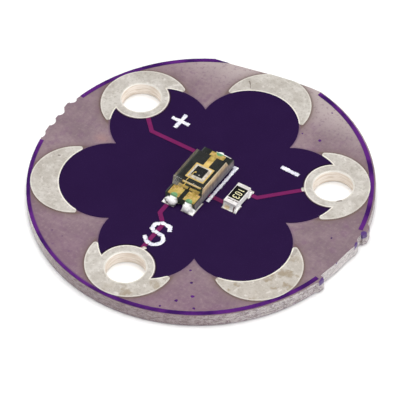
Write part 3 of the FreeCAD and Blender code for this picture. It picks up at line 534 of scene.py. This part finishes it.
def clear_material():
    """Clear epoxy. The two sawn sides are frosted, and on the +X one the gold inside is painted on: a
    painted reflection, with a painted highlight along its top edge.

    The near slope is hazy toward -X.
    """
    s = Shader("clear")
    flow = s.noise(2.2, detail=2)
    tint = s.mix(flow, srgb(250, 251, 249), srgb(242, 245, 241))
    sawn = s.smooth(s.math("ABSOLUTE", s.x), CLEAR_HALF_WIDTH - 0.01, CLEAR_HALF_WIDTH - 0.002)
    marks = saw_streaks(s)
    marked = s.smooth(marks, 0.36, 0.62)
    # Painted reflection of the gold inside on the +X sawn side, greyer low down.
    painted_gold_wall = s.mix(marked, srgb(196, 160, 118), srgb(255, 230, 184))
    painted_gold_wall = s.mix(s.smooth(s.z, 1.72, 1.5), painted_gold_wall, s.mix(marked, srgb(112, 100, 98), srgb(176, 154, 136)))
    # Painted highlight along the top edge of the +X side.
    painted_gold_wall = s.mix(s.smooth(s.z, 1.9, 1.95), painted_gold_wall, srgb(255, 236, 204))
    grey = s.mix(marked, srgb(104, 96, 82), srgb(170, 160, 142))
    frosted = s.mix(s.smooth(s.x, -0.1, 0.1), grey, painted_gold_wall)
    clearness = s.math("SUBTRACT", 1.0, s.times(sawn, s.span(marks, 0.6, 0.85)))
    haze = s.times(s.smooth(s.y, -1.05, -1.3), s.smooth(s.x, -0.3, -0.8), s.span(flow, 0.2, 0.45))
    clearness = s.math("SUBTRACT", clearness, haze)
    frosted = s.mix(haze, frosted, srgb(170, 154, 142))
    s.set(Base_Color=s.mix(s.math("MAXIMUM", sawn, haze), tint, frosted), Transmission_Weight=clearness,
          Roughness=s.math("MULTIPLY_ADD", sawn, s.span(marks, 0.2, 0.55), 0.012))
    s.surface.inputs["IOR"].default_value = 1.53
    s.bump(s.noise(1.8, detail=1), 0.006)
    s.let_lamps_through(0.9)
    return s.material


def carrier_material():
    """The sensor's dark carrier board. Its sawn sides are paler, with upright saw marks."""
    s = Shader("carrier")
    clouds = s.noise(3, detail=3)
    face = s.mix(s.smooth(clouds, 0.35, 0.65), srgb(9, 12, 10), srgb(23, 27, 24))
    rim = s.smooth(s.math("ABSOLUTE", s.x), CLEAR_HALF_WIDTH - 0.1, CLEAR_HALF_WIDTH - 0.02)
    face = s.mix(s.times(rim, 0.7), face, srgb(78, 82, 80))
    marks = saw_streaks(s)
    upper = s.mix(s.smooth(marks, 0.35, 0.65), srgb(104, 96, 98), srgb(160, 148, 142))
    lower = s.mix(s.smooth(marks, 0.35, 0.65), srgb(86, 84, 94), srgb(126, 122, 130))
    side = s.mix(s.smooth(s.z, 1.05, 1.3), lower, upper)
    cut_end = s.smooth(s.math("ABSOLUTE", s.y), CARRIER_HALF_LENGTH - 0.01, CARRIER_HALF_LENGTH - 0.002)
    side = s.mix(cut_end, side, s.mix(marks, srgb(40, 44, 40), srgb(74, 80, 72)))
    s.set(Base_Color=s.mix(s.sideways(), face, side), Roughness=s.span(s.noise(10), 0.4, 0.6))
    s.surface.inputs["Specular IOR Level"].default_value = 0.25
    s.bump(s.math("ADD", s.noise(10), s.times(s.sideways(), marks)), 0.004)
    return s.material


def solder_material():
    """Bright solder with small lumps. Painted shade darkens the near side of the left bead's foot, and flux
    has dried by the resistor.
    """
    s = Shader("solder")
    clouds, grain = s.noise(2.2, detail=4), s.noise(9, detail=4, roughness=0.6)
    colour = s.mix(s.smooth(clouds, 0.35, 0.65), srgb(236, 234, 232), srgb(255, 254, 252))
    # Painted shade: a dark band round the near side of the left bead's foot, where it meets the pad.
    level = s.math("ADD", s.z, s.span(s.noise(6, detail=3), -0.08, 0.08))
    foot = s.times(s.smooth(level, 0.94, 0.96), s.smooth(level, 1.08, 1.05), s.smooth(s.y, -2.12, -2.18),
                   s.smooth(s.x, -0.1, -0.15))
    colour = s.mix(s.times(foot, 0.85), colour, srgb(44, 40, 38))
    bend = s.span(s.noise(4, detail=2), -0.07, 0.07)
    slot = s.smooth(s.apart(s.math("ADD", s.x, bend), 2.85), 0.07, 0.04)
    slot = s.times(slot, s.smooth(s.y, -0.74, -0.78))
    colour = s.mix(s.times(slot, 0.9), colour, srgb(84, 38, 34))
    amber = s.times(s.near_line((2.3, -0.88), (2.5, -0.86), 0.05, soft=0.11), s.smooth(s.z, 1.28, 1.0))
    colour = s.mix(s.times(amber, 0.9), colour, srgb(230, 194, 104))
    s.set(Base_Color=colour, Roughness=s.span(grain, 0.18, 0.34))
    s.surface.inputs["Metallic"].default_value = 0.12
    s.bump(s.math("ADD", grain, s.times(clouds, 1.6)), 0.028)
    return s.material


MATERIALS = {
    "laminate": laminate_material(),
    "tin": tin_material(),
    "mask": mask_material(),
    "mask_rim": rim_material(),
    "gold": gold_material(),
    "bond_gold": metal_material("bond_gold", srgb(240, 200, 96), srgb(255, 228, 140), 0.15, (0.2, 0.3),
                                20, 0.001),
    "carrier": carrier_material(),
    "clear": clear_material(),
    "die": die_material(),
    "glue": metal_material("glue", srgb(204, 193, 180), srgb(246, 238, 228), 0.1, (0.4, 0.55), 16, 0.004),
    "resist": plastic_material("resist", srgb(84, 140, 92), srgb(140, 186, 132), (0.3, 0.45), 9, 0.004),
    "solder": solder_material(),
    "ceramic": plastic_material("ceramic", srgb(240, 238, 234), srgb(255, 254, 252), (0.5, 0.7), 18, 0.003),
    "coat": plastic_material("coat", srgb(6, 5, 5), srgb(15, 13, 13), (0.3, 0.45), 16, 0.002,
                             specular=0.12),
    "film": plastic_material("film", srgb(40, 38, 36), srgb(58, 54, 50), (0.5, 0.65), 16, 0.002),
    "cap": cap_material(),
    "ink": ink_material(),
    "digits": plastic_material("digits", srgb(228, 222, 168), srgb(250, 246, 206), (0.5, 0.65), 20, 0.002),
}

for part in frame["record"]["subparts"]:
    node = NODES[part["node"]]
    node.data.materials.clear()
    node.data.materials.append(MATERIALS[part["material_slot"]])

# Mesh helpers


def height_below():
    """A function that gives the height in mm of the board's top at a place on it."""
    board = bmesh.new()
    for name in ("board_laminate", "top_mask_flower", "plus_net", "minus_net", "signal_net", "spare_pad",
                 "top_crescent_90", "top_crescent_210", "top_crescent_330",
                 "top_mask_rim_west", "top_mask_rim_south", "top_mask_rim_east"):
        board.from_mesh(NODES[name].data)
    tree = BVHTree.FromBMesh(board)
    board.free()

    def height(x, y):
        spot = tree.ray_cast(Vector((x * MM, y * MM, 5 * MM)), Vector((0, 0, -1)))[0]
        return spot.z / MM if spot else LAMINATE_TOP

    return height


board_height = height_below()


def make_piece(name, points, faces, material, slot, smooth=True):
    """A mesh from points in mm and faces, riding on the board."""
    mesh = bpy.data.meshes.new(name)
    mesh.from_pydata([tuple(c * MM for c in point) for point in points], [], faces)
    mesh.update()
    tidy = bmesh.new()
    tidy.from_mesh(mesh)
    bmesh.ops.recalc_face_normals(tidy, faces=tidy.faces)
    tidy.to_mesh(mesh)
    tidy.free()
    if smooth:
        mesh.shade_smooth()
    piece = bpy.data.objects.new(name, mesh)
    bpy.context.scene.collection.objects.link(piece)
    mesh.materials.append(MATERIALS[material])
    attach(piece, "root")
    return piece


def side_of(start, end):
    """The unit vector to the left of a step in the plane."""
    step = Vector((end[0] - start[0], end[1] - start[1])).normalized()
    return Vector((-step.y, step.x))


def inked_stroke(points, width, thickness, rng, ragged, height=board_height):
    """A printed stroke that follows the surface under it, with slightly ragged sides."""
    stride, most_drop, sunk = 0.05, 0.02, 0.004
    centres = []
    for start, end in zip(points, points[1:]):
        start, end = Vector(start), Vector(end)
        steps = max(2, round((end - start).length / stride))
        for step in range(steps):
            centres.append(start.lerp(end, step / steps))
    centres.append(Vector(points[-1]))
    across_steps = 5
    row = across_steps + 2
    order = [across_steps, *range(across_steps), across_steps + 1]  # from one foot over the top to the other
    verts, faces = [], []
    for number, centre in enumerate(centres):
        before, after = centres[max(0, number - 1)], centres[min(len(centres) - 1, number + 1)]
        side = side_of(before, after)
        left = width / 2 + rng.uniform(-ragged, ragged)
        right = width / 2 + rng.uniform(-ragged, ragged)
        for lane in range(across_steps):
            share = lane / (across_steps - 1)
            spot = centre + side * (left - (left + right) * share)
            crown = 1 - (2 * share - 1) ** 4
            level = max(height(spot.x, spot.y), height(centre.x, centre.y) - most_drop)
            verts.append((spot.x, spot.y, level + thickness * (0.35 + 0.65 * crown)))
        for lane in (0, across_steps - 1):
            top = verts[-across_steps + lane]
            verts.append((top[0], top[1], height(top[0], top[1]) - sunk))
    for number in range(len(centres) - 1):
        here, there = number * row, (number + 1) * row
        for first, second in zip(order, order[1:]):
            faces.append((here + first, here + second, there + second, there + first))
    for number in (0, len(centres) - 1):
        faces.append([number * row + k for k in order])
    return verts, faces


def joined(parts):
    """Several (points, faces) as one."""
    points, faces = [], []
    for more, shapes in parts:
        base = len(points)
        points += more
        faces += [tuple(base + k for k in face) for face in shapes]
    return points, faces


# Clear moulding of the sensor


def clear_moulding():
    """The moulding with softened edges. Its foot sinks a hair into the carrier, so no film of air shows."""
    sunk, soft, top_gap = 0.008, 0.025, 0.01
    corners = NODES["clear_body"].data.vertices
    outline = sorted({(round(v.co.y / MM, 4), round(v.co.z / MM, 4)) for v in corners})
    foot = min(z for y, z in outline)
    top = max(z for y, z in outline)
    foot_ends = [y for y, z in outline if z == foot]
    top_ends = [y for y, z in outline if z == top]
    ends = ((min(foot_ends), foot - sunk), (max(foot_ends), foot - sunk),
            (max(top_ends), top), (min(top_ends), top))
    shape = bmesh.new()
    rows = [[shape.verts.new((side * CLEAR_HALF_WIDTH * MM, y * MM, z * MM)) for y, z in ends]
            for side in (-1, 1)]
    for row in rows:
        shape.faces.new(row)
    for first in range(4):
        second = (first + 1) % 4
        shape.faces.new((rows[0][first], rows[0][second], rows[1][second], rows[1][first]))
    upper = [edge for edge in shape.edges if min(v.co.z for v in edge.verts) > (top - top_gap) * MM]
    bmesh.ops.bevel(shape, geom=upper, offset=soft * MM, segments=3, affect="EDGES", profile=0.6)
    bmesh.ops.recalc_face_normals(shape, faces=shape.faces)
    shape.verts.index_update()
    points = [tuple(v.co / MM) for v in shape.verts]
    faces = [tuple(v.index for v in face.verts) for face in shape.faces]
    shape.free()
    piece = make_piece("sensor_moulding", points, faces, "clear", "clear", smooth=False)
    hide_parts("clear_body")


clear_moulding()

# Solder on the pads


def solder_surface(left, right, outer, inner, skin, beads, seed):
    """A skin of solder over a rectangle of pad, with domed beads on it, as points and faces.

    Each bead is its centre, half widths and height, and two waves round it make its outline uneven. The
    skin's edge is uneven too and rolls down to the pad. The inner side runs under the part.
    """
    chance = random.Random(seed)
    step, roll_off, sunk = 0.02, 0.04, 0.012
    columns, rows = max(2, round((right - left) / step)), round(abs(inner - outer) / step)
    ragged = [[chance.uniform(-0.03, 0.015) for _ in range(max(columns, rows) + 1)] for _ in range(4)]
    ripple = [(chance.uniform(5, 16), chance.uniform(5, 16), chance.uniform(0, 6)) for _ in range(5)]
    points, faces = [], []
    for row in range(rows + 1):
        for column in range(columns + 1):
            u, v = column / columns, row / rows
            x = left + (right - left) * u
            y = outer + (inner - outer) * v
            inside = min(x - left + ragged[0][row], right - x + ragged[1][row],
                         abs(y - outer) + ragged[2][column])
            lift = skin * min(1, max(0, inside / roll_off)) ** 0.5
            lift *= 1 + 0.35 * sum(math.sin(a * x + b * y + c) for a, b, c in ripple) / len(ripple)
            for centre_x, centre_y, half_x, half_y, height in beads:
                off = ((x - centre_x) / half_x) ** 2 + ((y - centre_y) / half_y) ** 2
                turn = math.atan2(y - centre_y, x - centre_x)
                off *= 1 + 0.14 * math.sin(3 * turn + seed) + 0.12 * math.sin(7 * turn + 2 * seed)
                if off < 1:
                    lift = max(lift, skin + height * (1 - off) ** 0.42)
            points.append((x, y, COPPER_TOP - sunk + lift + (sunk if inside > 0 else 0)))
    for row in range(rows):
        for column in range(columns):
            here = row * (columns + 1) + column
            faces.append((here, here + 1, here + columns + 2, here + columns + 1))
    return points, faces


# Beads of solder: centre, half widths and height, in mm.
BEAD_LEFT = (-0.63, -2.17, 0.33, 0.21, 0.36)
BEAD_RIGHT = (0.47, -2.16, 0.26, 0.22, 0.37)
BEAD_RIGHT_FOOT = (0.72, -2.07, 0.3, 0.2, 0.2)
BEAD_RESISTOR_FAR = (2.99, 0.72, 0.08, 0.18, 0.16)
BEAD_RESISTOR_NEAR = (3.0, -0.62, 0.08, 0.34, 0.14)

# Skins: left, right, outer and inner side and thickness in mm, the beads on it, and a seed.
SOLDER_SURFACES = {
    "solder_bead_left": (-1.045, -0.26, SENSOR_PAD_NEAR - 0.02, 0.02 - CARRIER_HALF_LENGTH, 0.025,
                         [BEAD_LEFT], 3),
    "solder_bead_right": (0.26, 1.045, SENSOR_PAD_NEAR - 0.02, 0.02 - CARRIER_HALF_LENGTH, 0.025,
                          [BEAD_RIGHT, BEAD_RIGHT_FOOT], 4),
    "solder_strip_right": (0.99, 1.045, -2.36, -1.3, 0.02, [], 5),
    "solder_far_lip": (-0.5, 0.5, 2.54, 2.06, 0.03, [(0.09, 2.06, 0.2, 0.2, 0.3)], 6),
    "solder_bead_resistor_far": (2.12, 3.06, 0.98, 0.42, 0.012, [BEAD_RESISTOR_FAR], 7),
    "solder_bead_resistor_near": (2.12, 3.06, -0.96, -0.34, 0.03, [BEAD_RESISTOR_NEAR], 8),
}
for name, shape in SOLDER_SURFACES.items():
    make_piece(name, *solder_surface(*shape), "solder", "solder")

# Printed legends

INK = 0.012  # thickness in mm
rng = random.Random(7)

PLUS_AT = (-3.6, 3.45)
PLUS_ARM = 0.6

# Each legend's strokes: the places that a stroke runs through, and its width, in mm.
LEGENDS = {
    "legend_plus": [([(PLUS_AT[0] - PLUS_ARM, PLUS_AT[1]), (PLUS_AT[0] + PLUS_ARM, PLUS_AT[1])], 0.25),
                    ([(PLUS_AT[0], PLUS_AT[1] - PLUS_ARM), (PLUS_AT[0], PLUS_AT[1] + PLUS_ARM)], 0.25)],
    "legend_minus": [([(3.3, 3.5), (4.5, 3.45)], 0.28)],
    "legend_signal": [([(0.62, -4.1), (0.45, -3.75), (-0.05, -3.75), (-0.4, -4.0), (-0.4, -4.35),
                        (-0.2, -4.5), (0.45, -4.55), (0.68, -4.8), (0.65, -5.1), (0.35, -5.4),
                        (-0.05, -5.4), (-0.45, -5.05)], 0.25)],
    "sensor_side_line": [([(1.165, -1.02), (1.165, 2.12)], 0.215), ([(1.165, 2.02), (0.93, 2.02)], 0.2)],
}
for name, strokes in LEGENDS.items():
    points, faces = joined([inked_stroke(path, width, INK, rng, ragged=0.026) for path, width in strokes])
    make_piece(name, points, faces, "ink", "mask")

# Digits on the resistor

COAT_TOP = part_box("resistor_overcoat")[1].z / MM


def digit_strokes():
    """1, 0 and 3 drawn as strokes in a cell one wide and two high."""
    one = [[(0.25, 1.6), (0.5, 1.95), (0.5, 0.05)]]
    nought = [[(0.2, 0.05), (0.8, 0.05), (0.95, 0.4), (0.95, 1.6), (0.8, 1.95), (0.2, 1.95), (0.05, 1.6),
               (0.05, 0.4), (0.2, 0.05)]]
    three = [[(0.05, 1.75), (0.25, 1.95), (0.8, 1.95), (0.95, 1.7), (0.95, 1.25), (0.75, 1.03), (0.4, 1.0)],
             [(0.75, 1.03), (0.97, 0.75), (0.95, 0.3), (0.78, 0.05), (0.22, 0.05), (0.04, 0.3)]]
    return one, nought, three


def resistor_digits():
    """The value code, read from the far cap to the near one."""
    cell, gap = 0.17, 0.1
    parts = []
    total = 3 * cell + 2 * gap
    for number, strokes in enumerate(digit_strokes()):
        for stroke in strokes:
            path = []
            for u, v in stroke:
                along = (cell + gap) * number + cell * u - total / 2
                up = cell * v * 1.2 - cell * 1.2
                path.append((PRINT_X + up, COAT_Y - along))
            parts.append(inked_stroke(path, 0.054, 0.006, rng, ragged=0.004, height=lambda x, y: COAT_TOP))
    return joined(parts)


make_piece("resistor_digits", *resistor_digits(), "digits", "coat")

# Mask specks left on the bare laminate

SPECK_HEIGHT = 0.014

# Place and radius of each, in mm.
SPECKS = [
    (3.2, -5.85, 0.072), (3.75, -6.6, 0.078), (4.35, -7.4, 0.098), (3.75, -8.15, 0.098), (4.9, -8.1, 0.078),
    (3.2, -8.95, 0.072), (4.05, 6.45, 0.091), (2.9, 6.4, 0.052), (3.5, 8.7, 0.052), (-4.5, -8.3, 0.075),
    (-3.4, -8.3, 0.07), (8.6, 0.4, 0.058), (-5.12, -7.5, 0.075), (-4.37, -7.56, 0.06),
]


def speck(x, y, radius):
    """A small domed fleck with an uneven edge."""
    sides, rings = 14, 3
    wobble = [rng.uniform(0.75, 1.25) for _ in range(sides)]
    base = board_height(x, y)
    points = [(x, y, base + SPECK_HEIGHT)]
    for ring in range(1, rings + 1):
        share = ring / rings
        for side in range(sides):
            reach = radius * share * (1 + (wobble[side] - 1) * share)
            turn = 2 * math.pi * side / sides
            points.append((x + reach * math.cos(turn), y + reach * math.sin(turn),
                           base + SPECK_HEIGHT * (1 - share ** 3)))
    faces = [(0, 1 + k, 1 + (k + 1) % sides) for k in range(sides)]
    for ring in range(rings - 1):
        here, there = 1 + ring * sides, 1 + (ring + 1) * sides
        faces += [(here + k, there + k, there + (k + 1) % sides, here + (k + 1) % sides)
                  for k in range(sides)]
    return points, faces


TIN_DROPS = [(5.30, 2.67, 0.15), (0.08, -5.88, 0.13)]  # where traces run into their rings
make_piece("tin_drops", *joined([speck(*spot) for spot in TIN_DROPS]), "tin", "tin")
# The specks share the ring's lighter purple, which is painted light.
make_piece("mask_specks", *joined([speck(*spot) for spot in SPECKS]), "mask_rim", "mask_rim")

# Floor, light and camera


def floor_material():
    """White paper. A faint glow, seen by the camera, in metal and through glass, makes it pure white."""
    s = Shader("floor")
    paper = s.mix(s.noise(0.02, detail=2), srgb(250, 250, 250), srgb(253, 253, 253))
    s.set(Base_Color=paper, Roughness=0.9)
    rays = s.add("ShaderNodeLightPath")
    seen = s.math("MAXIMUM", rays.outputs["Is Camera Ray"],
                  s.math("MAXIMUM", rays.outputs["Is Glossy Ray"], rays.outputs["Is Transmission Ray"]))
    s.surface.inputs["Emission Color"].default_value = (1, 1, 1, 1)
    s.link(s.times(seen, 0.03), s.surface.inputs["Emission Strength"])
    s.bump(s.noise(3, detail=2), 0.002)
    return s.material


def make_floor():
    """A wide sheet a hair below the board. Sizes in metres."""
    half, gap = 1.5, 0.00002
    mesh = bpy.data.meshes.new("floor")
    corners = [(-half, -half, 0), (half, -half, 0), (half, half, 0), (-half, half, 0)]
    mesh.from_pydata(corners, [], [(0, 1, 2, 3)])
    floor = bpy.data.objects.new("floor", mesh)
    bpy.context.scene.collection.objects.link(floor)
    mesh.materials.append(floor_material())
    floor.location.z = -gap


make_floor()


# The world's brightness by how far up a direction points, 0 at the horizon and 1 overhead.
WORLD_STOPS = ((0.0, 0.9), (0.12, 0.85), (0.3, 0.3), (0.5, 0.16), (0.8, 0.16), (0.9, 0.5), (1.0, 0.6))


def make_world():
    """A studio: bright near the horizon, dim above it and brighter again overhead."""
    world = bpy.data.worlds.new("studio")
    world.use_nodes = True
    tree = world.node_tree
    direction = tree.nodes.new("ShaderNodeTexCoord").outputs["Generated"]
    split = tree.nodes.new("ShaderNodeSeparateXYZ")
    tree.links.new(direction, split.inputs[0])
    ramp = tree.nodes.new("ShaderNodeValToRGB")
    tree.links.new(split.outputs[2], ramp.inputs[0])
    while len(ramp.color_ramp.elements) < len(WORLD_STOPS):
        ramp.color_ramp.elements.new(0.5)
    for element, (position, level) in zip(ramp.color_ramp.elements, WORLD_STOPS):
        element.position = position
        element.color = (level, level, level, 1)
    tree.links.new(ramp.outputs[0], tree.nodes["Background"].inputs["Color"])
    bpy.context.scene.world = world


make_world()


def softbox(name, at, width, depth, power):
    """A soft lamp that faces the board. Place and size in metres, power in watts."""
    lamp = bpy.data.lights.new(name, "AREA")
    lamp.shape = "RECTANGLE"
    lamp.size, lamp.size_y = width, depth
    lamp.energy = power
    holder = bpy.data.objects.new(name, lamp)
    holder.location = at
    holder.rotation_mode = "QUATERNION"
    holder.rotation_quaternion = (Vector((0, 0, 0)) - Vector(at)).to_track_quat("-Z", "Y")
    bpy.context.scene.collection.objects.link(holder)


softbox("softbox_top", (0.0, 0.03, 0.34), 0.3, 0.26, 0.99)
softbox("softbox_left", (-0.34, -0.12, 0.2), 0.16, 0.16, 0.22)
softbox("softbox_front", (0.2, -0.27, 0.13), 0.2, 0.12, 0.13)
softbox("softbox_right", (0.36, 0.06, 0.12), 0.16, 0.12, 0.45)


# The camera, solved from the photo's board circle, holes and petals: degrees and mm.
CAMERA_ANGLES = (34.533, 47.638, -1.795)  # azimuth, elevation, roll
CAMERA_DISTANCE = 205.06
CAMERA_TARGET = (0.745, -1.133, MASK_TOP)
CAMERA_LENS, CAMERA_SENSOR = 324, 36


def make_camera():
    """A camera with a long lens at the photo's angle."""
    azimuth, elevation, roll = (math.radians(angle) for angle in CAMERA_ANGLES)
    back = Vector((math.sin(azimuth) * math.cos(elevation), -math.cos(azimuth) * math.cos(elevation),
                   math.sin(elevation)))
    level = Vector((math.cos(azimuth), math.sin(azimuth), 0))
    upright = back.cross(level)
    right = level * math.cos(roll) + upright * math.sin(roll)
    up = -level * math.sin(roll) + upright * math.cos(roll)
    data = bpy.data.cameras.new("camera")
    data.sensor_width = CAMERA_SENSOR
    data.lens = CAMERA_LENS
    data.clip_start, data.clip_end = 0.01, 10
    camera = bpy.data.objects.new("camera", data)
    bpy.context.scene.collection.objects.link(camera)
    place = Matrix.Translation((Vector(CAMERA_TARGET) + back * CAMERA_DISTANCE) * MM)
    camera.matrix_world = place @ Matrix((right, up, back)).transposed().to_4x4()
    bpy.context.scene.camera = camera


make_camera()
bpy.context.scene.view_settings.view_transform = "Standard"
